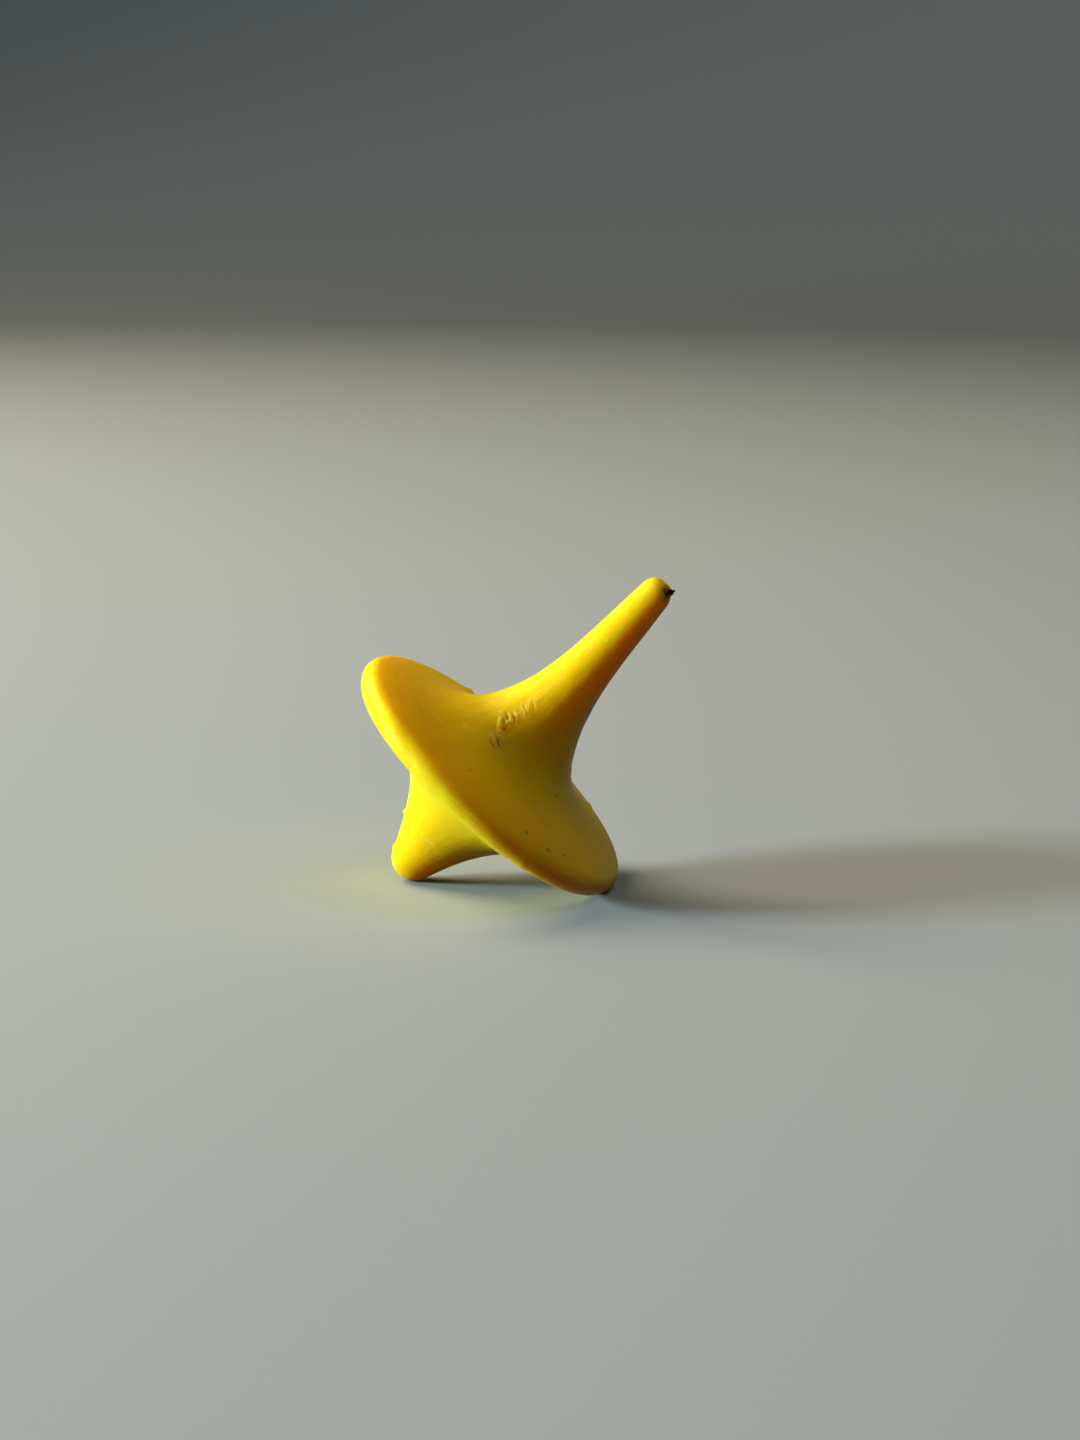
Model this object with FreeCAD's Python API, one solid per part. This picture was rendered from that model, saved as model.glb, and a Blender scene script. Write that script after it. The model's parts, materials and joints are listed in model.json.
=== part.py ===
import FreeCAD, Part
import math
import os

# A small finger top, moulded in one piece, lying tipped over on a table.
#
# It is drawn upright first: its own axis is +Z, its foot's tip is at the origin and its
# stem points up. Then it is laid down, until the rounded foot and the rounded rim both
# touch the table, with the stem rising towards +X. The frame's origin is the middle of
# the object's box, on the table.
#
# All lengths are millimetres, and all angles are degrees.

# The disc and its rounded rim
DISC_RADIUS = 17.0
RIM_ROUND = 1.45           # radius of the rim's rounded edge
RIM_HEIGHT = 14.65         # height of the rim's middle above the foot's tip
UNDERSIDE_SLOPE = 15.0     # lean of the underside where it meets the rim
UPPER_SLOPE = 26.0         # lean of the upper face where it meets the rim

# The foot
FOOT_ROUND = 2.4           # radius of the ball end that the top spins on
FOOT_HALF_ANGLE = 20.5     # half angle of the cone just above the ball end

# The waist, where the disc's upper face has turned into the stem
WAIST_HEIGHT = 21.65
WAIST_RADIUS = 5.2
WAIST_HALF_ANGLE = 28.3

# The stem's end
SHOULDER_HEIGHT = 40.4     # where the taper ends and the dome starts
SHOULDER_RADIUS = 1.7
STEM_HALF_ANGLE = 5.0
CLIPPED_OFF = 0.24         # height of the cap that the clip took off the dome

# How far each flare's curve runs straight on from its two ends before it bends
FOOT_REACH = 11.7
UNDERSIDE_REACH = 6.6
UPPER_REACH = 4.3
WAIST_REACH_DOWN = 5.65
WAIST_REACH_UP = 5.9
SHOULDER_REACH = 8.8

# The torn pocket in the clipped end, and the stub that stands in it. The bearing is
# measured round the axis from the side that hangs down, towards the front of the object.
POCKET_RADIUS = 0.56
POCKET_OFF_AXIS = 0.90
POCKET_BEARING = 25.0
POCKET_DEPTH = 0.75
STUB_BASE_RADIUS = 0.28
STUB_TOP_RADIUS = 0.20
STUB_OFF_AXIS = 1.05
STUB_BEARING = 12.0
STUB_ABOVE_CLIP = 0.10


def in_section(height, radius):
    """A point of the half section: height along the axis, radius away from it."""
    return FreeCAD.Vector(radius, 0, height)


def heading(angle):
    """The section's direction that leans away from the axis by this angle."""
    lean = math.radians(angle)
    return in_section(math.cos(lean), math.sin(lean))


def flare(start, start_pull, end_pull, end):
    """A curve that leaves start along one pull and arrives at end against the other."""
    curve = Part.BezierCurve()
    curve.setPoles([start, start + start_pull, end + end_pull, end])
    return curve.toShape()


def round_edge(centre, radius, start, middle, end):
    """An arc about centre; its three points are given by the lean of their normals."""
    points = [centre + heading(lean) * radius for lean in (start, middle, end)]
    return Part.Arc(*points).toShape()


def dome_centre_and_radius():
    """The ball that the stem's taper runs into, tangent at the shoulder."""
    taper = math.radians(STEM_HALF_ANGLE)
    radius = SHOULDER_RADIUS / math.cos(taper)
    return in_section(SHOULDER_HEIGHT - radius * math.sin(taper), 0), radius


def clip_height():
    """Height of the flat that the clip left across the dome."""
    centre, radius = dome_centre_and_radius()
    return centre.z + radius - CLIPPED_OFF


def half_section():
    """The closed outline that turns round the axis, from the foot's tip to the clip."""
    foot_centre = in_section(FOOT_ROUND, 0)
    foot_end = foot_centre + heading(90 + FOOT_HALF_ANGLE) * FOOT_ROUND
    rim_centre = in_section(RIM_HEIGHT, DISC_RADIUS - RIM_ROUND)
    rim_low = 180 - UNDERSIDE_SLOPE
    rim_start = rim_centre + heading(rim_low) * RIM_ROUND
    rim_end = rim_centre + heading(UPPER_SLOPE) * RIM_ROUND
    waist = in_section(WAIST_HEIGHT, WAIST_RADIUS)
    shoulder = in_section(SHOULDER_HEIGHT, SHOULDER_RADIUS)
    dome_centre, dome_radius = dome_centre_and_radius()
    clip_lean = math.degrees(math.acos(1 - CLIPPED_OFF / dome_radius))
    clip_edge = dome_centre + heading(clip_lean) * dome_radius
    clip_middle = in_section(clip_edge.z, 0)
    foot_tip = in_section(0, 0)

    foot = round_edge(foot_centre, FOOT_ROUND, 180, 135, 90 + FOOT_HALF_ANGLE)
    underside = flare(
        foot_end,
        heading(FOOT_HALF_ANGLE) * FOOT_REACH,
        heading(90 - UNDERSIDE_SLOPE) * -UNDERSIDE_REACH,
        rim_start)
    rim = round_edge(rim_centre, RIM_ROUND, rim_low, 90, UPPER_SLOPE)
    upper_face = flare(
        rim_end,
        heading(UPPER_SLOPE - 90) * UPPER_REACH,
        heading(-WAIST_HALF_ANGLE) * -WAIST_REACH_DOWN,
        waist)
    stem = flare(
        waist,
        heading(-WAIST_HALF_ANGLE) * WAIST_REACH_UP,
        heading(-STEM_HALF_ANGLE) * -SHOULDER_REACH,
        shoulder)
    dome = round_edge(dome_centre, dome_radius, 90 - STEM_HALF_ANGLE, 60, clip_lean)
    clip = Part.makeLine(clip_edge, clip_middle)
    axis = Part.makeLine(clip_middle, foot_tip)
    return Part.Face(Part.Wire([foot, underside, rim, upper_face, stem, dome, clip, axis]))


def beside_axis(off_axis, bearing, height):
    """A point off the axis, on a bearing measured towards the front of the object."""
    turn = math.radians(bearing)
    return FreeCAD.Vector(off_axis * math.cos(turn), -off_axis * math.sin(turn), height)


def top_body():
    """Foot, flare, disc, rim and stem, with the torn pocket in the stem's end."""
    body = half_section().revolve(FreeCAD.Vector(0, 0, 0), FreeCAD.Vector(0, 0, 1), 360)
    floor = beside_axis(POCKET_OFF_AXIS, POCKET_BEARING, clip_height() - POCKET_DEPTH)
    pocket = Part.makeCylinder(POCKET_RADIUS, 2 * POCKET_DEPTH, floor)
    return body.cut(pocket)


def gate_stub():
    """The snapped-off stub of the gate, standing on the pocket's floor."""
    height = POCKET_DEPTH + STUB_ABOVE_CLIP
    foot = beside_axis(STUB_OFF_AXIS, STUB_BEARING, clip_height() - POCKET_DEPTH)
    return Part.makeCone(STUB_BASE_RADIUS, STUB_TOP_RADIUS, height, foot)


def lying_angle():
    """The axis's rise above the table when the foot's ball and the rim both touch it."""
    along = RIM_HEIGHT - FOOT_ROUND
    across = DISC_RADIUS - RIM_ROUND
    apart = math.hypot(along, across)
    return math.degrees(math.atan2(across, along) - math.asin((FOOT_ROUND - RIM_ROUND) / apart))


def lay_down(shape):
    """Tips the upright shape over, its foot's tip still at the origin."""
    tip_over = FreeCAD.Rotation(FreeCAD.Vector(0, 1, 0), 90 - lying_angle())
    laid = shape.copy()
    laid.transformShape(FreeCAD.Placement(FreeCAD.Vector(), tip_over).toMatrix())
    return laid


def middle_of_base():
    """The point of the laid-down object that becomes the origin, before it moves there."""
    rise = math.radians(lying_angle())
    rim_reach = (DISC_RADIUS - RIM_ROUND) * math.sin(rise) + RIM_ROUND
    back = RIM_HEIGHT * math.cos(rise) - rim_reach
    front = lay_down(gate_stub()).BoundBox.XMax
    table = FOOT_ROUND * math.sin(rise) - FOOT_ROUND
    return FreeCAD.Vector((back + front) / 2, 0, table)


os.makedirs("parts", exist_ok=True)
origin = middle_of_base()
for name, make in (("top_body", top_body), ("gate_stub", gate_stub)):
    solid = lay_down(make())
    solid.translate(origin * -1)
    solid.exportStep("parts/" + name + ".step")
    print(name, "volume %.2f mm3" % solid.Volume, "valid", solid.isValid())
print("axis rises %.2f degrees" % lying_angle())
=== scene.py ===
# %% [markdown]
# # A yellow finger top, lying tipped over
#
# The object is a small top that is spun between finger and thumb. It is one piece of
# satin yellow plastic: a rounded foot, a flare, a thin disc with a rounded rim, and a
# long stem. It has fallen over and rests on its foot and its rim. The CAD model holds its
# size and place. This lesson gives it a detailed surface, a plastic that light can
# enter, and the small marks that a used and cheaply moulded toy carries.

# %% Load the frame
import json
import math
import random

import bmesh
import bpy
from mathutils import Euler, Matrix, Vector, noise
from mathutils.geometry import interpolate_bezier, intersect_point_line


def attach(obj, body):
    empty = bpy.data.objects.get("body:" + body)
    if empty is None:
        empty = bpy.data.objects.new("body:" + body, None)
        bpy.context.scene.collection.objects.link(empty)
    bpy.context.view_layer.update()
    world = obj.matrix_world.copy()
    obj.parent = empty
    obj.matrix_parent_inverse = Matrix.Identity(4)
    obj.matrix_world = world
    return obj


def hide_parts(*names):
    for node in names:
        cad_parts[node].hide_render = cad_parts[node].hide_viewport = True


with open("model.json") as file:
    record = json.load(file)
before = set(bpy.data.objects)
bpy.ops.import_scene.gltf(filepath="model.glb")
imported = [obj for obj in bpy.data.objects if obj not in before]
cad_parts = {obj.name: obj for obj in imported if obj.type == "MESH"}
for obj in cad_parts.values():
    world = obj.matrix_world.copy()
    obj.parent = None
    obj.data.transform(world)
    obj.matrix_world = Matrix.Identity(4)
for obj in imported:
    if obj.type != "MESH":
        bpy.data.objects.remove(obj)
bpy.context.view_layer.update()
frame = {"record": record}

MM = 0.001

# %% [markdown]
# ## Where the top lies
#
# The top is easiest to model upright and in millimetres, turning about its own axis, and
# to lay down at the end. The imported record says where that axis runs: one mount is the
# tip of the foot that it spins on, and another is the grip on the stem. One matrix built
# from the two carries everything from the upright drawing to the resting place.

# %% Find the top's own axis
mounts = {mount["name"]: mount for mount in frame["record"]["mounts"]}
foot_tip = Vector(mounts["spin_point"]["pos_m"])
own_axis = Vector(mounts["stem_grip"]["axis"]).normalized()
tilt = math.acos(own_axis.z)
lay_down = (Matrix.Translation(foot_tip) @ Matrix.Rotation(tilt, 4, "Y")
            @ Matrix.Scale(MM, 4))
print("the axis leans %.2f degrees from upright" % math.degrees(tilt))

# %% [markdown]
# ## Camera
#
# A phone with its long lens, held a hand's breadth above the table and a third of a metre
# away, gives this flat perspective. A camera could be aimed with a constraint, but three
# angles and a place are plainer, and nothing has to be worked out again at render time.

# %% Set the camera
camera_place = Vector((0.0554, -0.3190, 0.0766))
camera_azimuth = math.radians(9.45)
camera_pitch = math.radians(10.35)
camera_roll = math.radians(0.61)

camera_data = bpy.data.cameras.new("camera")
camera_data.sensor_width = 36   # millimetres, as on a small-picture film camera
camera_data.lens = 80
camera_data.clip_start = 0.01
camera_data.clip_end = 20
camera = bpy.data.objects.new("camera", camera_data)
aim = Euler((math.radians(90) - camera_pitch, 0, camera_azimuth)).to_matrix()
camera.matrix_world = Matrix.Translation(camera_place) @ (
    aim @ Matrix.Rotation(camera_roll, 3, "Z")).to_4x4()
bpy.context.scene.collection.objects.link(camera)
bpy.context.scene.camera = camera
print("camera %.0f mm from the top" % (camera_place.length / MM))

# %% [markdown]
# ## Colours, nodes and meshes
#
# Colours are written as the hex values that a paint program shows. Blender's shaders
# want linear light, so one function converts them. A second one adds any shader node
# with its settings and its links. A third turns a finished bmesh into an object.

# %% Helpers
def linear(hex_colour):
    """The linear RGBA of an sRGB hex colour such as 'F2CE00'."""
    channels = [int(hex_colour[i:i + 2], 16) / 255 for i in (0, 2, 4)]
    return [c / 12.92 if c <= 0.04045 else ((c + 0.055) / 1.055) ** 2.4 for c in channels] + [1]


def add_node(tree, kind, settings=None, inputs=None):
    """A node of this kind; inputs are values, or other nodes' sockets to link from."""
    node = tree.nodes.new(kind)
    for name, value in (settings or {}).items():
        setattr(node, name, value)
    for name, value in (inputs or {}).items():
        if isinstance(value, bpy.types.NodeSocket):
            tree.links.new(value, node.inputs[name])
        else:
            node.inputs[name].default_value = value
    return node


def new_object(name, bm, materials):
    """A smooth-shaded object made of the bmesh, which is used up."""
    mesh = bpy.data.meshes.new(name)
    bm.to_mesh(mesh)
    bm.free()
    mesh.shade_smooth()
    for material in materials:
        mesh.materials.append(material)
    piece = bpy.data.objects.new(name, mesh)
    bpy.context.scene.collection.objects.link(piece)
    return piece


# %% [markdown]
# ## Floor
#
# In a studio, small things stand on a roll of paper that curves up into a wall,
# so that no view shows an edge. A flat plane would do for one camera. A profile spun all
# the way round does it for every camera. The real top lay on dark glass, which sends
# almost no light up at it. The paper is pale to look at, but for light that bounces it
# is nearly as dark as that glass, so the shaded sides stay deep.

# %% Build the floor
FLOOR_REACH = 1.0      # metres, as the next two are
SWEEP_RADIUS = 0.6
WALL_HEIGHT = 1.4
BEND_STEPS = 12
FLOOR_STEPS = 96       # round the whole circle

sweep = bmesh.new()
corner = Vector((FLOOR_REACH, 0, 0))
profile = [Vector((0, 0, 0)), corner]
for step in range(1, BEND_STEPS + 1):
    lean = math.radians(90) * step / BEND_STEPS
    profile.append(corner + SWEEP_RADIUS * Vector((math.sin(lean), 0, 1 - math.cos(lean))))
profile.append(profile[-1] + Vector((0, 0, WALL_HEIGHT - SWEEP_RADIUS)))
corners = [sweep.verts.new(point) for point in profile]
edges = [sweep.edges.new(pair) for pair in zip(corners, corners[1:])]
bmesh.ops.spin(sweep, geom=corners + edges, cent=(0, 0, 0), axis=(0, 0, 1),
               angle=math.tau, steps=FLOOR_STEPS, use_merge=True)
bmesh.ops.remove_doubles(sweep, verts=sweep.verts, dist=1e-5)
bmesh.ops.recalc_face_normals(sweep, faces=sweep.faces)

paper = bpy.data.materials.new("pale_sweep_paper")
paper.use_nodes = True
paper_shader = paper.node_tree.nodes["Principled BSDF"]
paper_shader.inputs["Roughness"].default_value = 0.75
paper_shader.inputs["Specular IOR Level"].default_value = 0.2
# 6 and 7 are the Mix node's two colours, and 2 is its result, when it mixes colours.
ray = add_node(paper.node_tree, "ShaderNodeLightPath")
seen_or_bounced = add_node(paper.node_tree, "ShaderNodeMix", {"data_type": "RGBA"}, {
    "Factor": ray.outputs["Is Diffuse Ray"], 6: linear("A4B8C6"), 7: linear("363533")})
paper.node_tree.links.new(seen_or_bounced.outputs[2], paper_shader.inputs["Base Color"])
floor = new_object("floor", sweep, [paper])
print("floor %.1f m across" % (2 * (FLOOR_REACH + SWEEP_RADIUS)))

# %% [markdown]
# ## Light
#
# One soft key stands low and far to the left. It lights the foot, the underside of the
# disc and the left of the stem, and it leaves the upper face in its own shade. A large,
# warm window light, behind and to the left, grazes the upper face, so that it fades from
# the upper left towards the stem. A weak one from above and from the right keeps the far
# end of the disc from going black. The air of the room adds very little.

# %% Set the lights
def soft_light(name, azimuth, elevation, distance, size, power, colour):
    """A square soft light aimed at the top; its azimuth turns from the front to the right."""
    turn = math.radians(azimuth)
    rise = math.radians(elevation)
    back = Vector((math.sin(turn) * math.cos(rise), -math.cos(turn) * math.cos(rise),
                   math.sin(rise)))
    data = bpy.data.lights.new(name, "AREA")
    data.size = size
    data.energy = power
    data.color = linear(colour)[:3]
    light = bpy.data.objects.new(name, data)
    light.matrix_world = (Matrix.Translation(back * distance)
                          @ back.to_track_quat("Z", "Y").to_matrix().to_4x4())
    bpy.context.scene.collection.objects.link(light)
    return light


soft_light("key", azimuth=-73, elevation=13, distance=0.8, size=0.2, power=9.4, colour="FFFEF8")
soft_light("window", azimuth=-116, elevation=41, distance=0.9, size=0.5, power=7.8,
           colour="FFDDB6")
soft_light("overhead", azimuth=80, elevation=66, distance=0.9, size=0.5, power=1.4,
           colour="FFE8CC")

world = bpy.data.worlds.new("studio_air")
world.use_nodes = True
world.node_tree.nodes["Background"].inputs["Color"].default_value = linear("F0E4D4")
world.node_tree.nodes["Background"].inputs["Strength"].default_value = 0.015
bpy.context.scene.world = world
bpy.context.scene.view_settings.view_transform = "Standard"
print("three soft lights and the room's air")

# %% [markdown]
# ## The outline
#
# The whole top is one outline turned about its axis. Its round stretches are arcs and
# its flares are Bezier curves, with the same knots and pulls as the CAD, so the visible
# surface lies on the designed one. Each stretch says how many points it gets: they lie
# close together where the surface has fine detail, and wider where it is plain.

# %% Draw the outline
def leaning(angle):
    """The outline's direction that leans away from the axis by this angle in degrees."""
    lean = math.radians(angle)
    return Vector((math.sin(lean), 0, math.cos(lean)))


def arc(centre, radius, start, end, steps):
    """Points of an arc whose normals lean from start to end."""
    return [centre + leaning(start + (end - start) * step / steps) * radius
            for step in range(steps + 1)]


DISC_RADIUS = 17.0
RIM_ROUND = 1.45       # radius of the rim's rounded edge
RIM_HEIGHT = 14.65
FOOT_ROUND = 2.4       # radius of the ball end
STEM_END_RADIUS = 1.7
CLIPPED_OFF = 0.24     # height that the clip took off the dome
FOOT_HALF_ANGLE = 20.5
UNDERSIDE_SLOPE = 15
UPPER_SLOPE = 26
WAIST_HALF_ANGLE = 28.3
STEM_HALF_ANGLE = 5
# How far each flare's curve runs straight on from its two ends before it bends
FOOT_REACH = 11.7
UNDERSIDE_REACH = 6.6
UPPER_REACH = 4.3
WAIST_REACH_DOWN = 5.65
WAIST_REACH_UP = 5.9
SHOULDER_REACH = 8.8
taper = math.radians(STEM_HALF_ANGLE)
foot_centre = Vector((0, 0, FOOT_ROUND))
rim_centre = Vector((DISC_RADIUS - RIM_ROUND, 0, RIM_HEIGHT))
waist = Vector((5.2, 0, 21.65))
shoulder = Vector((STEM_END_RADIUS, 0, 40.4))
dome_radius = STEM_END_RADIUS / math.cos(taper)
dome_centre = Vector((0, 0, shoulder.z - dome_radius * math.sin(taper)))
clip_height = dome_centre.z + dome_radius - CLIPPED_OFF
clip_lean = math.degrees(math.acos(1 - CLIPPED_OFF / dome_radius))
clip_edge = dome_centre + leaning(clip_lean) * dome_radius


def flare(start, start_lean, start_pull, end_lean, end_pull, end, points):
    """A curve that leaves start and reaches end with these leans and pulls."""
    return interpolate_bezier(
        start, start + leaning(start_lean) * start_pull,
        end - leaning(end_lean) * end_pull, end, points)


foot = arc(foot_centre, FOOT_ROUND, 180, 90 + FOOT_HALF_ANGLE, 14)
rim = arc(rim_centre, RIM_ROUND, 180 - UNDERSIDE_SLOPE, UPPER_SLOPE, 24)
dome = arc(dome_centre, dome_radius, 90 - STEM_HALF_ANGLE, clip_lean, 28)
underside = flare(foot[-1], FOOT_HALF_ANGLE, FOOT_REACH,
                  90 - UNDERSIDE_SLOPE, UNDERSIDE_REACH, rim[0], 56)
upper_face = flare(rim[-1], UPPER_SLOPE - 90, UPPER_REACH,
                   -WAIST_HALF_ANGLE, WAIST_REACH_DOWN, waist, 84)
stem = flare(waist, -WAIST_HALF_ANGLE, WAIST_REACH_UP,
             -STEM_HALF_ANGLE, SHOULDER_REACH, shoulder, 60)
CLIP_STEPS = 11
clip_middle = Vector((0, 0, clip_height))
clip = [clip_edge.lerp(clip_middle, step / CLIP_STEPS) for step in range(CLIP_STEPS + 1)]

outline = [foot[0]]
for stretch in (foot, underside, rim, upper_face, stem, dome, clip):
    outline += stretch[1:]
along = [0]
for before, after in zip(outline, outline[1:]):
    along.append(along[-1] + (after - before).length)
print("outline of %d points, %.1f mm long" % (len(outline), along[-1]))

# %% [markdown]
# ## From outline to top
#
# A lathe in Blender is the spin operator. Before the spin, the outline's points take a
# number with them: how far along the outline they lie. The material uses it later, because
# the marks that a turned mould leaves run round the top at an even spacing along its
# surface. Two more numbers are filled in by the cells below: how torn each point is, which
# also holds a pale band of painted sheen, and how far the tear raised it. Two short
# stretches are cut finer, where the plastic is torn or has flash.

# %% Turn the outline into the top
AROUND = 248           # steps round the axis
FINE_ZONES = ((4.6, 7.0, 0.2), (18.4, 24.6, 0.1))   # from height, to height, longest edge

top = bmesh.new()
along_layer = top.verts.layers.float.new("along")
torn_and_sheen_layer = top.verts.layers.float.new("torn_and_sheen")
raised_layer = top.verts.layers.float.new("raised")
chain = [top.verts.new(point) for point in outline]
for vert, distance in zip(chain, along):
    vert[along_layer] = distance
for pair in zip(chain, chain[1:]):
    top.edges.new(pair)
for low, high, longest in FINE_ZONES:
    for cut in range(2):
        coarse = [edge for edge in top.edges if edge.calc_length() > longest
                  and all(low < vert.co.z < high for vert in edge.verts)]
        bmesh.ops.subdivide_edges(top, edges=coarse, cuts=1)
bmesh.ops.spin(top, geom=top.verts[:] + top.edges[:], cent=(0, 0, 0), axis=(0, 0, 1),
               angle=math.tau, steps=AROUND, use_merge=True)
bmesh.ops.remove_doubles(top, verts=top.verts, dist=1e-4)
bmesh.ops.recalc_face_normals(top, faces=top.faces)
triangles = sum(len(face.verts) - 2 for face in top.faces)
longest_way = max(vert[along_layer] for vert in top.verts)
print("%d triangles, outline carried to %.1f mm" % (triangles, longest_way))

# %% [markdown]
# ## Places on the top
#
# Every mark is set by three numbers: its height above the foot, its distance from the
# axis, and its bearing round the axis. Bearing 0 is the side that hangs down, and 90 is
# the side that faces front.

# %% Say where things are
def on_top(height, radius, bearing):
    """A point of the upright top, in millimetres."""
    turn = math.radians(bearing)
    return Vector((radius * math.cos(turn), -radius * math.sin(turn), height))


def hump(point, middle, reach):
    """1 in the middle, falling off smoothly to nearly 0 at three times the reach."""
    return math.exp(-(point - middle).length_squared / (2 * reach * reach))


def eased(value):
    """0 below 0, 1 above 1, and a smooth rise between."""
    value = min(1, max(0, value))
    return value * value * (3 - 2 * value)


# %% [markdown]
# ## Torn plastic in the waist
#
# Where the disc turns into the stem the real surface is torn. As the top was pulled from
# its mould, the soft plastic stuck and was dragged into short ridges that run down the
# slope, and one place was plucked out into a burr beside a pit. They are raised and sunk
# by up to a third of a millimetre, so they catch the light, and bump alone would leave
# the outline too clean. The mesh is cut finer there first, so that it can hold them.

# %% Cut the torn stretch finer
TORN_HEIGHTS = (18.3, 24.6)
TORN_BEARINGS = (84, 142)


def bearing_of(point):
    """Degrees round the axis from the side that hangs down, towards the front."""
    return math.degrees(math.atan2(-point.y, point.x))


def in_torn_stretch(vert):
    """Whether a vertex lies in the stretch of the waist that is torn most."""
    return (TORN_HEIGHTS[0] < vert.co.z < TORN_HEIGHTS[1]
            and TORN_BEARINGS[0] < bearing_of(vert.co) < TORN_BEARINGS[1]
            and vert.co.xy.length < 9)


torn_edges = [edge for edge in top.edges if all(in_torn_stretch(vert) for vert in edge.verts)]
bmesh.ops.subdivide_edges(top, edges=torn_edges, cuts=1, use_grid_fill=True)
print("%d triangles after the finer cut" % sum(len(face.verts) - 2 for face in top.faces))

# %% [markdown]
# The ridges run aslant, as the top was twisted while it was pulled. Noise that changes
# quickly across that slant and slowly along it gives them, and soft patches say where
# they are deep: the first ones are the torn stretch, and the others are weaker and
# scattered round the back. The burr follows a short line, and the pits lie beside it. A
# paler band is painted on up the stem along the edge of its shade. It is a painted sheen,
# not wear, and it is kept in the same number as the tear.

# %% Tear the waist
RIDGE_SPACING = 0.56   # millimetres across the slant
RIDGE_LENGTH = 2.4     # millimetres along the slant
SLANT = 0.64           # rise along the surface for each millimetre round it
TEAR_DEPTH = 0.20
# Patches and pits: height, radius, bearing, reach, and strength or rise.
PATCHES = [(21.35, 5.36, 119, 0.42, 1.2), (19.50, 6.80, 106, 0.55, 1.7),
           (21.90, 5.08, 114, 0.38, 1.1), (22.60, 4.72, 114, 0.38, 0.8),
           (23.40, 4.35, 115, 0.42, 0.6), (24.20, 4.02, 114, 0.50, 0.4),
           (18.45, 8.25, 127, 0.40, 0.5)]
# The next line lists points along which a pale band is painted: a painted sheen, not wear.
PAINTED_SHEEN_LINE = [(21.90, 5.08, 117), (23.10, 4.48, 116), (25.30, 3.66, 116), (28.00, 2.95, 116)]
BURR = [(21.34, 5.37, 129), (21.03, 5.57, 123), (20.51, 5.92, 117), (20.05, 6.28, 111)]
PITS = [(21.42, 5.33, 120, 0.17, -0.26), (20.60, 5.85, 111, 0.15, -0.20),
        (21.20, 5.46, 115, 0.15, 0.22), (20.98, 5.60, 118, 0.10, -0.16)]

BURR_SPREAD = 0.022    # square millimetres
PAINTED_SHEEN_SPREAD = 0.20    # square millimetres
BACK_PATCHES = 8

random.seed(7)
patch_places = list(PATCHES)
for number in range(BACK_PATCHES):
    height = random.uniform(19.2, 23.4)
    near = min(outline, key=lambda point: abs(point.z - height))
    patch_places.append(
        (near.z, near.x, random.uniform(-165, 70), random.uniform(0.4, 0.7), 0.7))
patches = [(on_top(*place), reach, strength) for *place, reach, strength in patch_places]
burr = [on_top(*place) for place in BURR]
painted_sheen_line = [on_top(*place) for place in PAINTED_SHEEN_LINE]
pits = [(on_top(*place), reach, rise) for *place, reach, rise in PITS]


def off_line(point, line):
    """Distance in millimetres from a line of several stretches."""
    distances = []
    for start, end in zip(line, line[1:]):
        foot_point, share = intersect_point_line(point, start, end)
        nearest_point = start.lerp(end, min(1, max(0, share)))
        distances.append((point - nearest_point).length)
    return min(distances)


def tearing(vert):
    """How far the tear lifts a vertex, in millimetres, and how torn it is or how strongly the
    painted sheen shows there, 0 to 1.
    """
    point = vert.co
    around = math.radians(bearing_of(point)) * point.xy.length
    across = (vert[along_layer] - SLANT * around) / RIDGE_SPACING
    across += 0.5 * noise.noise(point * 1.4)
    lengthwise = (around + SLANT * vert[along_layer]) / RIDGE_LENGTH
    streak = abs(noise.noise(Vector((across, lengthwise, 3.7))))
    fibre = noise.noise(Vector((2.6 * across, 2.0 * lengthwise, 8.1)))
    amount = 0
    for middle, reach, strength in patches:
        amount += strength * hump(point, middle, reach)
    lift = amount * TEAR_DEPTH * (0.65 - 2.6 * streak + 0.45 * fibre)
    crest = math.exp(-off_line(point, burr) ** 2 / BURR_SPREAD)
    lift += crest * (0.16 + 0.34 * noise.noise(point * 2.6))
    for middle, reach, rise in pits:
        lift += rise * hump(point, middle, reach)
    # Painted sheen: a pale band along that line, stored with how torn the point is.
    painted_sheen = 0.6 * math.exp(-off_line(point, painted_sheen_line) ** 2 / PAINTED_SHEEN_SPREAD)
    return lift, min(1, max(amount + crest, painted_sheen * (0.6 + noise.noise(point * 1.2))))


waist_verts = [vert for vert in top.verts
               if 17.6 < vert.co.z < 29.5 and vert.co.xy.length < 10]
top.normal_update()
lifts = [(vert, vert.normal.copy(), *tearing(vert)) for vert in waist_verts]
for vert, normal, lift, amount in lifts:
    vert.co += normal * lift
    vert[torn_and_sheen_layer] = amount
    vert[raised_layer] = lift / TEAR_DEPTH
print("%d points torn, %.2f to %.2f mm" % (
    len(lifts), min(lift for _, _, lift, _ in lifts), max(lift for _, _, lift, _ in lifts)))

# %% [markdown]
# ## Flash, nicks and unevenness
#
# A cheap moulding is never quite round. Thin flash stands out as small nibs where the
# mould closed, the rim is nicked from falls, and the skin has sunk a little here and there
# as it cooled. None of it may stand out where the top touches the table, so it fades there.

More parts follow.
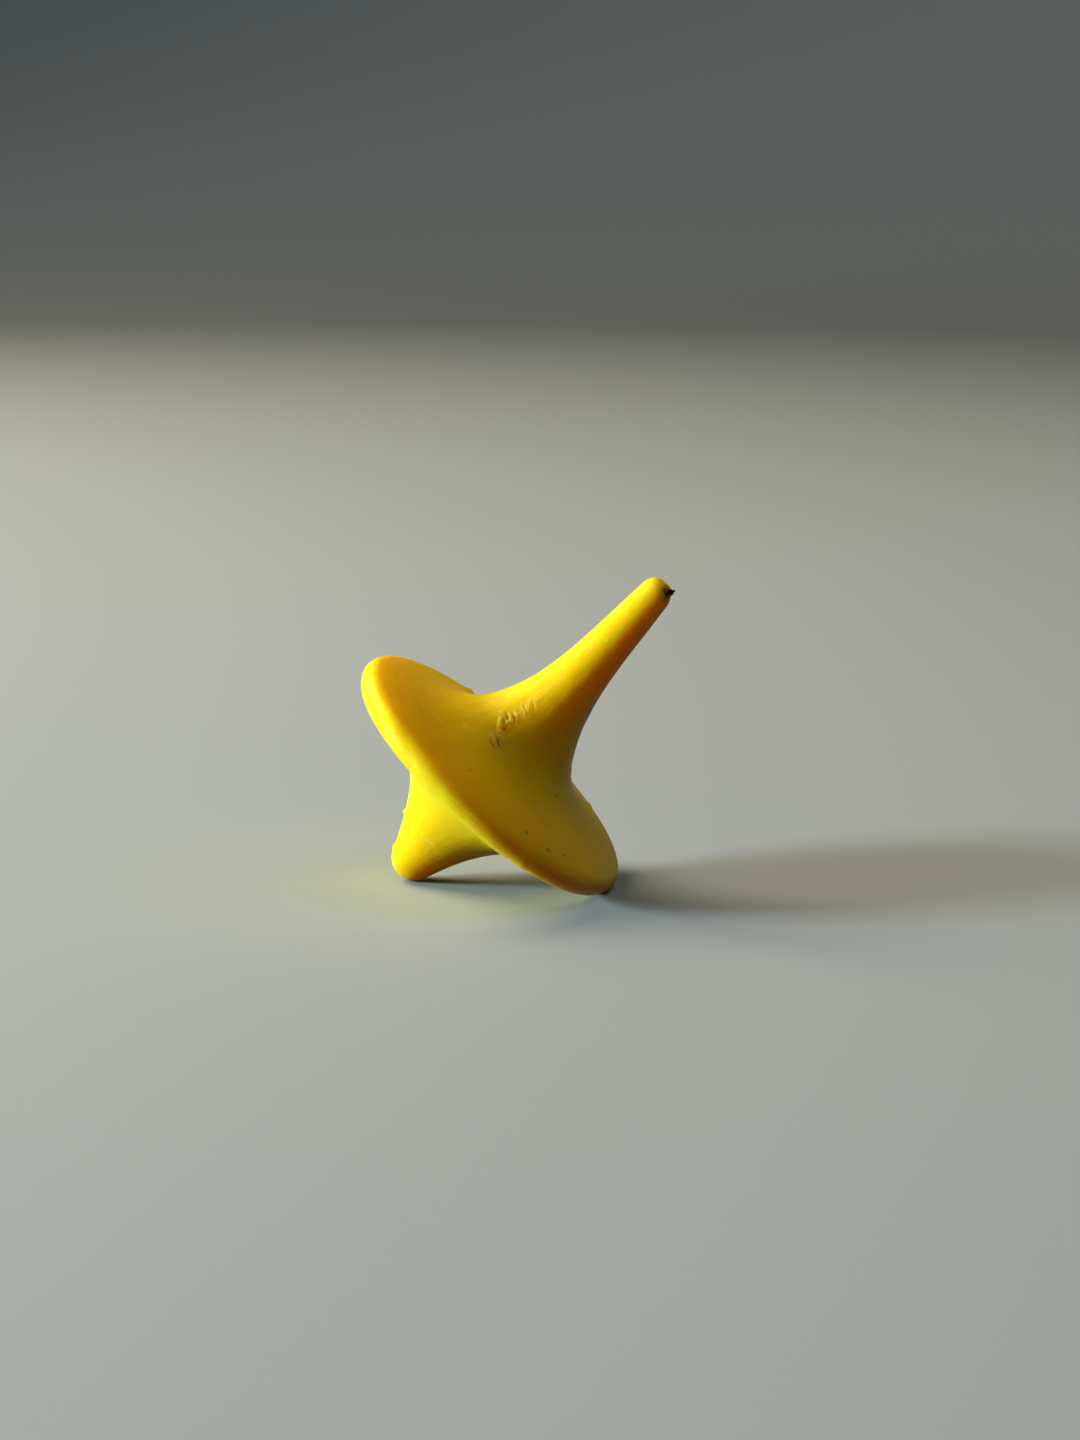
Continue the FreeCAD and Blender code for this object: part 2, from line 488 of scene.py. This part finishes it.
# %% Raise the nibs and nick the rim
# Nibs: height, radius, bearing, reach and rise.
NIBS = [(5.86, 4.11, 160, 0.20, 0.30), (2.10, 2.45, 156, 0.17, 0.34),
        (2.75, 2.50, 160, 0.14, 0.20), (14.00, 16.84, 59, 0.36, 0.24),
        (16.76, 13.95, -45, 0.30, 0.20), (16.75, 13.90, -124, 0.26, 0.26),
        (10.43, 7.60, 67, 0.30, 0.07), (9.20, 6.60, 250, 0.35, 0.20),
        (14.90, 16.98, 205, 0.36, 0.20)]
RIM_NICKS = 16
FOOT_NICKS = 5
bumps = [(on_top(height, radius, bearing), reach, rise)
         for height, radius, bearing, reach, rise in NIBS]
for number in range(RIM_NICKS):
    place = on_top(RIM_HEIGHT + random.uniform(-0.9, 1.1), DISC_RADIUS, random.uniform(20, 340))
    bumps.append((place, random.uniform(0.3, 0.6), -random.uniform(0.06, 0.14)))
for number in range(FOOT_NICKS):
    place = on_top(random.uniform(0.3, 1.2), 1.8, random.uniform(60, 300))
    bumps.append((place, random.uniform(0.2, 0.35), -random.uniform(0.03, 0.07)))

SINK = 0.045           # depth of the broad sink marks
WAVE = 0.022           # height of the broad waves that run round near the rim
CLEAR_OF_TABLE = 1.2 * MM
top.normal_update()
moves = []
for vert in top.verts:
    clearance = eased((lay_down @ vert.co).z / CLEAR_OF_TABLE)
    uneven = SINK * noise.noise(vert.co * 0.17) + 0.4 * SINK * noise.noise(vert.co * 0.6)
    if vert.co.z > RIM_HEIGHT:
        waves = Vector((vert.co.x * 0.12, vert.co.y * 0.12, vert[along_layer] * 1.3))
        uneven += WAVE * noise.noise(waves) * eased((vert.co.xy.length - 9) / 3)
    for middle, reach, rise in bumps:
        if (vert.co - middle).length_squared < 9 * reach * reach:
            uneven += rise * hump(vert.co, middle, reach)
    moves.append((vert, vert.normal * uneven * clearance))
for vert, move in moves:
    vert.co += move
print("surface moved by up to %.2f mm" % max(move.length for _, move in moves))

# %% [markdown]
# ## The torn end of the stem
#
# The mould was filled through the stem's end. The gate was snapped off and the end was
# clipped, which left a ragged pocket at one side with a stub standing in it. Cutting the
# pocket with a boolean would give a clean machined edge, so the points of the dense dome
# are pushed down instead, with an edge and a floor that wander.

# %% Tear the pocket open
POCKET_RADIUS = 0.56
POCKET_DEPTH = 0.75
POCKET_EDGE = 0.16     # width over which the surface drops into the pocket
LIP_RISE = 0.07
SHAVED = 0.16          # what the clip also took off the end's lower side
pocket_middle = on_top(0, 1.03, 45)
pocket_floor = clip_height - POCKET_DEPTH
sunk = 0
for vert in top.verts:
    if vert.co.z < shoulder.z - 0.4:
        continue
    flat = Vector((vert.co.x, vert.co.y, 0))
    away = (flat - pocket_middle).length
    rag = 0.10 * noise.noise(flat * 4.0) + 0.05 * noise.noise(flat * 11.0)
    inside = eased((POCKET_RADIUS + rag - away) / POCKET_EDGE + 0.5)
    floor_here = pocket_floor + 0.14 * noise.noise(flat * 3.4) + 0.06 * noise.noise(flat * 9.0)
    from_middle = Vector((away, 0, 0))
    lip = LIP_RISE * hump(from_middle, Vector((POCKET_RADIUS + POCKET_EDGE, 0, 0)), 0.07)
    raised_lip = lip * (0.5 + noise.noise(flat * 6.0))
    shaved = SHAVED * eased((flat.x - 0.45) / 1.1) * eased((flat.y + 1.5) / 1.2)
    lowered = min(vert.co.z, floor_here)
    vert.co.z += (lowered - vert.co.z) * inside + (raised_lip - shaved) * (1 - inside)
    torn_edge = 0.5 * hump(from_middle, Vector((POCKET_RADIUS, 0, 0)), POCKET_EDGE)
    # The pocket's points are marked as torn here; the material paints them brown as the pocket's
    # shade.
    vert[torn_and_sheen_layer] = max(vert[torn_and_sheen_layer], inside, torn_edge)
    sunk += inside > 0.5
print("%d points sunk into the pocket" % sunk)

# %% [markdown]
# ## The stub of the gate
#
# The stub is what is left of the narrow runner that fed the mould: a thin peg, snapped
# off, burnt dark and crooked. A cone gives its taper. Cutting its sides and its end into
# small faces and pushing their points about makes it ragged, higher on one side, with a
# broken point that leans out over the pocket's edge.

# %% Build the stub
STUB_FOOT_RADIUS = 0.32
STUB_END_RADIUS = 0.27
STUB_ABOVE_CLIP = 0.17
STUB_ROOTED = 0.12     # how deep the stub goes on below the pocket's floor
stub = bmesh.new()
stub_foot = on_top(pocket_floor - STUB_ROOTED, 1.00, 2)
stub_height = clip_height + STUB_ABOVE_CLIP - stub_foot.z
bmesh.ops.create_cone(stub, cap_ends=True, cap_tris=False, segments=28,
                      radius1=STUB_FOOT_RADIUS, radius2=STUB_END_RADIUS, depth=stub_height)
sides = [edge for edge in stub.edges if abs(edge.verts[0].co.z - edge.verts[1].co.z) > 0.1]
bmesh.ops.subdivide_edges(stub, edges=sides, cuts=12, use_grid_fill=True)
ends = [face for face in stub.faces if len(face.verts) > 4]
for ring in range(4):
    bmesh.ops.inset_individual(stub, faces=ends, thickness=0.05)
bmesh.ops.poke(stub, faces=ends)
bmesh.ops.translate(stub, verts=stub.verts, vec=stub_foot + Vector((0, 0, stub_height / 2)))
outward = on_top(0, 1, 8)
for vert in stub.verts:
    risen = (vert.co.z - stub_foot.z) / stub_height
    flat = Vector((vert.co.x - stub_foot.x, vert.co.y - stub_foot.y, 0))
    ragged = 0.10 * noise.noise(vert.co * 3.0) + 0.04 * noise.noise(vert.co * 9.0)
    vert.co += flat.normalized() * ragged * (0.3 + risen)
    broken = eased((risen - 0.72) / 0.28)
    vert.co.z += broken * (0.22 * noise.noise(flat * 3.4) - 0.10 + 0.30 * flat.dot(outward))
    vert.co += outward * 0.04 * risen * risen
bmesh.ops.recalc_face_normals(stub, faces=stub.faces)
print("stub of %d faces, %.2f mm high" % (len(stub.faces), stub_height))

# %% [markdown]
# ## Lay both pieces down
#
# The finished meshes are carried to their resting place, so the objects themselves stay
# at the origin, unturned. Nothing may dip below the table by more than the thickness of
# a hair, which the print below shows.

# %% Lay them down
bmesh.ops.transform(top, matrix=lay_down, verts=top.verts)
bmesh.ops.transform(stub, matrix=lay_down, verts=stub.verts)
lowest = min(vert.co.z for vert in top.verts)
print("lowest point %.3f mm above the table" % (lowest / MM))

# %% [markdown]
# ## Moulded polypropylene
#
# The top is injection-moulded polypropylene, coloured right through. To the eye that is a
# strong yellow with a satin skin, and light enters it: red light goes millimetres deep,
# green less and blue hardly at all, so thin parts and the edges of shadows glow orange.
# The mould was turned on a lathe, and the top shows its fine rings. All patterns are
# worked out in the top's own millimetres.

# %% Start the plastic
RED_DEPTH = 3.9 * MM   # how deep red light goes
plastic = bpy.data.materials.new("moulded_yellow_polypropylene")
plastic.use_nodes = True
tree = plastic.node_tree
skin = tree.nodes["Principled BSDF"]
skin.inputs["IOR"].default_value = 1.49
skin.inputs["Specular IOR Level"].default_value = 0.27
skin.inputs["Specular Tint"].default_value = linear("FFE25A")
skin.inputs["Subsurface Weight"].default_value = 1.0
skin.inputs["Subsurface Radius"].default_value = (1.0, 0.42, 0.04)
skin.inputs["Subsurface Scale"].default_value = RED_DEPTH

object_place = add_node(tree, "ShaderNodeTexCoord")
own = add_node(tree, "ShaderNodeMapping", {"vector_type": "TEXTURE"}, {
    "Vector": object_place.outputs["Object"], "Location": foot_tip,
    "Rotation": (0, tilt, 0), "Scale": (MM, MM, MM)}).outputs["Vector"]
along_surface = add_node(tree, "ShaderNodeAttribute", {"attribute_name": "along"}).outputs["Fac"]
torn_and_sheen = add_node(tree, "ShaderNodeAttribute", {"attribute_name": "torn_and_sheen"}).outputs["Fac"]
raised = add_node(tree, "ShaderNodeAttribute", {"attribute_name": "raised"}).outputs["Fac"]
print("plastic started, patterns centred on the foot's tip")

# %% [markdown]
# ### Rings near the rim
#
# The mould was turned on a lathe, and the tool left rings a few tenths of a millimetre
# apart in the disc's outer band. They are drawn as noise that changes quickly along the
# surface and slowly round it, so no two rings are equal and each fades in and out.

# %% Draw the rings
RING_SPACING = 0.40    # millimetres
apart = add_node(tree, "ShaderNodeSeparateXYZ", {}, {"Vector": own})
flat_place = add_node(tree, "ShaderNodeCombineXYZ", {}, {
    "X": apart.outputs["X"], "Y": apart.outputs["Y"]})
slow = add_node(tree, "ShaderNodeVectorMath", {"operation": "SCALE"}, {
    0: flat_place.outputs[0], "Scale": 0.17})
quick = add_node(tree, "ShaderNodeMath", {"operation": "DIVIDE"}, {
    0: along_surface, 1: RING_SPACING})
upright = add_node(tree, "ShaderNodeCombineXYZ", {}, {"Z": quick.outputs[0]})
ring_place = add_node(tree, "ShaderNodeVectorMath", {"operation": "ADD"}, {
    0: slow.outputs[0], 1: upright.outputs[0]})
rings = add_node(tree, "ShaderNodeTexNoise", {}, {
    "Vector": ring_place.outputs[0], "Scale": 1.0, "Detail": 3.0, "Roughness": 0.6})
off_axis = add_node(tree, "ShaderNodeVectorMath", {"operation": "LENGTH"}, {
    0: flat_place.outputs[0]})
outer_band = add_node(tree, "ShaderNodeMapRange", {"interpolation_type": "SMOOTHSTEP"}, {
    "Value": off_axis.outputs["Value"], "From Min": 8.5, "From Max": 13.0})
print("rings about %.2f mm apart" % RING_SPACING)

# %% [markdown]
# ### Drag lines down the stem
#
# The stem was pulled lengthwise out of the mould, which drew fine lines along it. They
# spread over the waist and fade out on the disc. The same noise draws them when it
# changes quickly round the axis: the place is first brought to a unit distance from the
# axis, so the lines run straight down the slope and spread as the top widens.

# %% Draw the drag lines
LINES = 12             # lines in one radian: a third of a millimetre apart on the stem
spoke = add_node(tree, "ShaderNodeVectorMath", {"operation": "NORMALIZE"}, {
    0: flat_place.outputs[0]})
spread = add_node(tree, "ShaderNodeVectorMath", {"operation": "SCALE"}, {
    0: spoke.outputs[0], "Scale": LINES})
slow_down = add_node(tree, "ShaderNodeMath", {"operation": "MULTIPLY"}, {
    0: along_surface, 1: 0.16})
down_slope = add_node(tree, "ShaderNodeCombineXYZ", {}, {"Z": slow_down.outputs[0]})
line_place = add_node(tree, "ShaderNodeVectorMath", {"operation": "ADD"}, {
    0: spread.outputs[0], 1: down_slope.outputs[0]})
lines = add_node(tree, "ShaderNodeTexNoise", {}, {
    "Vector": line_place.outputs[0], "Scale": 1.0, "Detail": 3.0, "Roughness": 0.6})
marks = add_node(tree, "ShaderNodeMix", {"data_type": "FLOAT"}, {
    "Factor": outer_band.outputs[0], 2: lines.outputs["Fac"], 3: rings.outputs["Fac"]})
patches_noise = add_node(tree, "ShaderNodeTexNoise", {}, {
    "Vector": own, "Scale": 0.30, "Detail": 2.0})
mark_strength = add_node(tree, "ShaderNodeMapRange", {}, {
    "Value": patches_noise.outputs["Fac"], "From Min": 0.36, "From Max": 0.62,
    "To Min": 0.25, "To Max": 1.0})
sharp_marks = add_node(tree, "ShaderNodeMapRange", {"interpolation_type": "SMOOTHSTEP"}, {
    "Value": marks.outputs[0], "From Min": 0.46, "From Max": 0.66})
shown_marks = add_node(tree, "ShaderNodeMath", {"operation": "MULTIPLY"}, {
    0: sharp_marks.outputs[0], 1: mark_strength.outputs[0]})
print("%d lines round the stem" % (LINES * math.tau))

# %% [markdown]
# ### Scuffs and grain
#
# Handling leaves short scuffs in other directions. Noise stretched along one direction
# and cut off near its top gives thin, broken lines; two sets that cross look like wear.
# The moulded skin itself has a fine grain, drawn a little coarser than the real one so
# that it shows.

# %% Draw the scuffs and the grain
scuffs = []
for turn, stretch in ((0.5, (0.30, 3.4, 0.9)), (-0.9, (2.9, 0.26, 0.7))):
    turned = add_node(tree, "ShaderNodeMapping", {}, {
        "Vector": own, "Rotation": (0, 0.2, turn), "Scale": stretch})
    streaks = add_node(tree, "ShaderNodeTexNoise", {}, {
        "Vector": turned.outputs[0], "Scale": 1.0, "Detail": 2.0, "Roughness": 0.5})
    thin = add_node(tree, "ShaderNodeMapRange", {"interpolation_type": "SMOOTHSTEP"}, {
        "Value": streaks.outputs["Fac"], "From Min": 0.66, "From Max": 0.74})
    scuffs.append(thin.outputs[0])
scuffed = add_node(tree, "ShaderNodeMath", {"operation": "MAXIMUM"}, {0: scuffs[0], 1: scuffs[1]})
GRAIN_SCALE = 5.5      # grains in a millimetre; the real ones are finer
grain = add_node(tree, "ShaderNodeTexNoise", {}, {
    "Vector": own, "Scale": GRAIN_SCALE, "Detail": 3.0, "Roughness": 0.6})
print("scuffs in %d directions, grain about %.2f mm" % (len(scuffs), 1 / GRAIN_SCALE))

# %% [markdown]
# ### Specks
#
# A few dark specks of burnt plastic and dirt sit in the skin. The larger ones have their
# own places on the upper face, and very small ones are scattered by a Voronoi pattern of
# which only some cells are used.

# %% Place the specks
SPECKS = [(17.00, 12.96, 98, 0.11), (16.43, 15.02, 64, 0.17), (16.26, 15.48, 53, 0.20),
          (16.43, 15.04, 43, 0.13), (18.80, 7.68, 34, 0.12), (28.50, 2.93, 70, 0.10),
          (8.20, 5.60, 40, 0.12), (17.40, 11.2, 210, 0.15), (12.80, 12.6, 300, 0.16)]
jitter = add_node(tree, "ShaderNodeTexNoise", {}, {"Vector": own, "Scale": 4.0, "Detail": 1.0})
wander = add_node(tree, "ShaderNodeMath", {"operation": "MULTIPLY_ADD"}, {
    0: jitter.outputs["Fac"], 1: 0.30, 2: -0.15})
nearest = None
for height, radius, bearing, size in SPECKS:
    distance = add_node(tree, "ShaderNodeVectorMath", {"operation": "DISTANCE"}, {
        0: own, 1: on_top(height, radius, bearing)})
    scaled = add_node(tree, "ShaderNodeMath", {"operation": "SUBTRACT"}, {
        0: distance.outputs["Value"], 1: size})
    if nearest is None:
        nearest = scaled
    else:
        nearest = add_node(tree, "ShaderNodeMath", {"operation": "MINIMUM"}, {
            0: nearest.outputs[0], 1: scaled.outputs[0]})
ragged_edge = add_node(tree, "ShaderNodeMath", {"operation": "ADD"}, {
    0: nearest.outputs[0], 1: wander.outputs[0]})
large_specks = add_node(tree, "ShaderNodeMapRange", {"interpolation_type": "SMOOTHSTEP"}, {
    "Value": ragged_edge.outputs[0], "From Min": 0.14, "From Max": -0.08, "To Max": 0.6})
cells = add_node(tree, "ShaderNodeTexVoronoi", {}, {"Vector": own, "Scale": 0.42})
cell_apart = add_node(tree, "ShaderNodeSeparateXYZ", {}, {"Vector": cells.outputs["Color"]})
dot_size = add_node(tree, "ShaderNodeMapRange", {}, {
    "Value": cell_apart.outputs["X"], "From Min": 0.72, "From Max": 1.0,
    "To Min": 0.0, "To Max": 0.065})
dots = add_node(tree, "ShaderNodeMath", {"operation": "LESS_THAN"}, {
    0: cells.outputs["Distance"], 1: dot_size.outputs[0]})
faint_dots = add_node(tree, "ShaderNodeMath", {"operation": "MULTIPLY"}, {
    0: dots.outputs[0], 1: 0.6})
specks = add_node(tree, "ShaderNodeMath", {"operation": "MAXIMUM"}, {
    0: large_specks.outputs[0], 1: faint_dots.outputs[0]})
print("%d placed specks" % len(SPECKS))

# %% [markdown]
# ### Worn edges
#
# The rim and the ball of the foot touch the table most. There the skin is rubbed: a
# little paler on the rim, and dull and greyish on the ball. Each band is drawn from the
# distance along the outline and broken up by noise, so it never ends in a clean line.

# %% Draw the wear
rim_middle = along[len(foot) + len(underside) - 2 + len(rim) // 2]
from_rim = add_node(tree, "ShaderNodeMath", {"operation": "SUBTRACT"}, {
    0: along_surface, 1: rim_middle})
off_rim = add_node(tree, "ShaderNodeMath", {"operation": "ABSOLUTE"}, {0: from_rim.outputs[0]})
wear_noise = add_node(tree, "ShaderNodeTexNoise", {}, {
    "Vector": own, "Scale": 0.9, "Detail": 4.0, "Roughness": 0.65})
rim_ragged = add_node(tree, "ShaderNodeMath", {"operation": "MULTIPLY_ADD"}, {
    0: wear_noise.outputs["Fac"], 1: -2.4, 2: off_rim.outputs[0]})
rim_wear = add_node(tree, "ShaderNodeMapRange", {"interpolation_type": "SMOOTHSTEP"}, {
    "Value": rim_ragged.outputs[0], "From Min": 0.35, "From Max": -0.65})
foot_ragged = add_node(tree, "ShaderNodeMath", {"operation": "MULTIPLY_ADD"}, {
    0: wear_noise.outputs["Fac"], 1: -4.0, 2: along_surface})
foot_wear = add_node(tree, "ShaderNodeMapRange", {"interpolation_type": "SMOOTHSTEP"}, {
    "Value": foot_ragged.outputs[0], "From Min": 1.6, "From Max": -1.2})
print("rim worn round %.1f mm along the outline" % rim_middle)

# %% [markdown]
# ### Colour
#
# The yellow drifts between two shades over several millimetres, as colouring does that
# was not quite mixed in. The rings and lines hold a little dirt, the worn bands are paler,
# and the torn plastic is paler, where it was stretched. Its crests get a painted highlight
# and its troughs painted shade, and the band up the stem is painted pale as a sheen. The
# pocket at the stem's end is painted brown as its shade. Each layer is mixed over the last one.

# %% Mix the colour
mottle = add_node(tree, "ShaderNodeTexNoise", {}, {
    "Vector": own, "Scale": 0.15, "Detail": 3.0, "Roughness": 0.55})
drift = add_node(tree, "ShaderNodeMapRange", {}, {
    "Value": mottle.outputs["Fac"], "From Min": 0.35, "From Max": 0.65})
torn_noise = add_node(tree, "ShaderNodeTexNoise", {}, {
    "Vector": own, "Scale": 2.6, "Detail": 3.0})
torn_dark = add_node(tree, "ShaderNodeMapRange", {"interpolation_type": "SMOOTHSTEP"}, {
    "Value": torn_noise.outputs["Fac"], "From Min": 0.47, "From Max": 0.62})
# Paler where the plastic is torn, and a painted sheen where the pale band runs up the stem.
pale_tear_and_painted_sheen = add_node(tree, "ShaderNodeMath", {"operation": "MULTIPLY"}, {0: torn_and_sheen, 1: 0.45})
# Painted highlight on the raised crests and painted shade in the sunk troughs of the tear.
painted_crest_highlight = add_node(tree, "ShaderNodeMapRange", {"interpolation_type": "SMOOTHSTEP"}, {
    "Value": raised, "From Min": 0.15, "From Max": 0.8, "To Max": 0.8})
painted_trough_shade = add_node(tree, "ShaderNodeMapRange", {"interpolation_type": "SMOOTHSTEP"}, {
    "Value": raised, "From Min": -0.15, "From Max": -0.9, "To Max": 0.55})
torn_and_dark = add_node(tree, "ShaderNodeMath", {"operation": "MULTIPLY"}, {
    0: torn_and_sheen, 1: torn_dark.outputs[0]})
dark_tear = add_node(tree, "ShaderNodeMath", {"operation": "MULTIPLY"}, {
    0: torn_and_dark.outputs[0], 1: 0.4})
# Painted shade: the torn pocket at the stem's end is painted brown.
end_of_stem = add_node(tree, "ShaderNodeMapRange", {}, {
    "Value": apart.outputs["Z"], "From Min": 40.2, "From Max": 40.7})
painted_pocket_shade = add_node(tree, "ShaderNodeMath", {"operation": "MULTIPLY"}, {
    0: torn_and_sheen, 1: end_of_stem.outputs[0]})
mark_dirt = add_node(tree, "ShaderNodeMath", {"operation": "MULTIPLY"}, {
    0: shown_marks.outputs[0], 1: 0.17})
scuff_pale = add_node(tree, "ShaderNodeMath", {"operation": "MULTIPLY"}, {
    0: scuffed.outputs[0], 1: 0.35})
rim_pale = add_node(tree, "ShaderNodeMath", {"operation": "MULTIPLY"}, {
    0: rim_wear.outputs[0], 1: 0.25})
foot_grey = add_node(tree, "ShaderNodeMath", {"operation": "MULTIPLY"}, {
    0: foot_wear.outputs[0], 1: 0.30})

colour = add_node(tree, "ShaderNodeMix", {"data_type": "RGBA"}, {
    "Factor": drift.outputs[0], 6: linear("F6E300"), 7: linear("F2DA00")}).outputs[2]
for amount, shade in ((mark_dirt, "DDB400"), (scuff_pale, "FFF07A"), (rim_pale, "FAEC3C"),
                      (foot_grey, "CDB84A"), (pale_tear_and_painted_sheen, "FFEE5C"), (dark_tear, "D2A010"),
                      (painted_crest_highlight, "FFF45C"), (painted_trough_shade, "B27A08"),
                      (painted_pocket_shade, "6E4508"), (specks, "8A640C")):
    colour = add_node(tree, "ShaderNodeMix", {"data_type": "RGBA"}, {
        "Factor": amount.outputs[0], 6: colour, 7: linear(shade)}).outputs[2]
tree.links.new(colour, skin.inputs["Base Color"])
print("colour mixed from the yellow and ten layers")

# %% [markdown]
# ### Gloss and relief
#
# The skin is satin: broad soft highlights. It is duller in the marks, scuffs and tears
# and on the foot, and smoother where the rim is polished by handling. The relief that is
# too fine for the mesh comes from bump, whose height is given in millimetres.

# %% Set the gloss and the relief
gloss = add_node(tree, "ShaderNodeMapRange", {}, {
    "Value": grain.outputs["Fac"], "From Min": 0.3, "From Max": 0.7,
    "To Min": 0.43, "To Max": 0.55})
for amount, change in ((shown_marks, 0.10), (scuffed, 0.14), (foot_wear, 0.16),
                       (torn_and_dark, 0.2), (rim_wear, -0.12)):
    gloss = add_node(tree, "ShaderNodeMath", {"operation": "MULTIPLY_ADD", "use_clamp": True}, {
        0: amount.outputs[0], 1: change, 2: gloss.outputs[0]})
tree.links.new(gloss.outputs[0], skin.inputs["Roughness"])

ripple = add_node(tree, "ShaderNodeTexNoise", {}, {
    "Vector": own, "Scale": 0.85, "Detail": 2.0, "Roughness": 0.5})
# Each pattern and its depth in millimetres; a negative one is cut in.
RELIEF = ((ripple, 0.075), (shown_marks, -0.024), (scuffed, -0.025), (grain, 0.012),
          (specks, 0.02))
normal = None
for height, depth in RELIEF:
    bump = add_node(tree, "ShaderNodeBump", {"invert": depth < 0}, {
        "Strength": 1.0, "Distance": abs(depth) * MM, "Height": height.outputs[0]})
    if normal:
        tree.links.new(normal, bump.inputs["Normal"])
    normal = bump.outputs["Normal"]
tree.links.new(normal, skin.inputs["Normal"])
print("roughness between about 0.3 and 0.8")

# %% [markdown]
# ## Burnt gate plastic
#
# The stub is the same polypropylene, scorched where the hot runner stayed against it, and
# torn across. To the eye it is nearly black, rough and a little brown where it is thin.

# %% Make the stub's material
burnt = bpy.data.materials.new("burnt_torn_polypropylene")
burnt.use_nodes = True
tree = burnt.node_tree
char = tree.nodes["Principled BSDF"]
char.inputs["IOR"].default_value = 1.49
char.inputs["Specular IOR Level"].default_value = 0.25
object_place = add_node(tree, "ShaderNodeTexCoord")
own = add_node(tree, "ShaderNodeMapping", {"vector_type": "TEXTURE"}, {
    "Vector": object_place.outputs["Object"], "Location": foot_tip,
    "Rotation": (0, tilt, 0), "Scale": (MM, MM, MM)}).outputs["Vector"]
fibres = add_node(tree, "ShaderNodeTexNoise", {}, {
    "Vector": own, "Scale": 7.0, "Detail": 4.0, "Roughness": 0.7})
scorch = add_node(tree, "ShaderNodeMapRange", {}, {
    "Value": fibres.outputs["Fac"], "From Min": 0.40, "From Max": 0.68})
burnt_colour = add_node(tree, "ShaderNodeMix", {"data_type": "RGBA"}, {
    "Factor": scorch.outputs[0], 6: linear("0E0904"), 7: linear("3A2408")})
tree.links.new(burnt_colour.outputs[2], char.inputs["Base Color"])
dullness = add_node(tree, "ShaderNodeMapRange", {}, {
    "Value": fibres.outputs["Fac"], "To Min": 0.55, "To Max": 0.9})
tree.links.new(dullness.outputs[0], char.inputs["Roughness"])
torn_relief = add_node(tree, "ShaderNodeBump", {}, {
    "Strength": 1.0, "Distance": 0.03 * MM, "Height": fibres.outputs["Fac"]})
tree.links.new(torn_relief.outputs["Normal"], char.inputs["Normal"])
print("stub's material has %d nodes" % len(tree.nodes))

# %% [markdown]
# ## Put the pieces in the frame
#
# Each new piece rides on the one body, stands for its CAD node, which is hidden, and
# carries its own material.

# %% Join the frame
body = new_object("yellow_top", top, [plastic])
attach(body, "root")
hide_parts("top_body")
peg = new_object("torn_gate_stub", stub, [burnt])
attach(peg, "root")
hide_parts("gate_stub")
print("pieces", body.name, "and", peg.name)
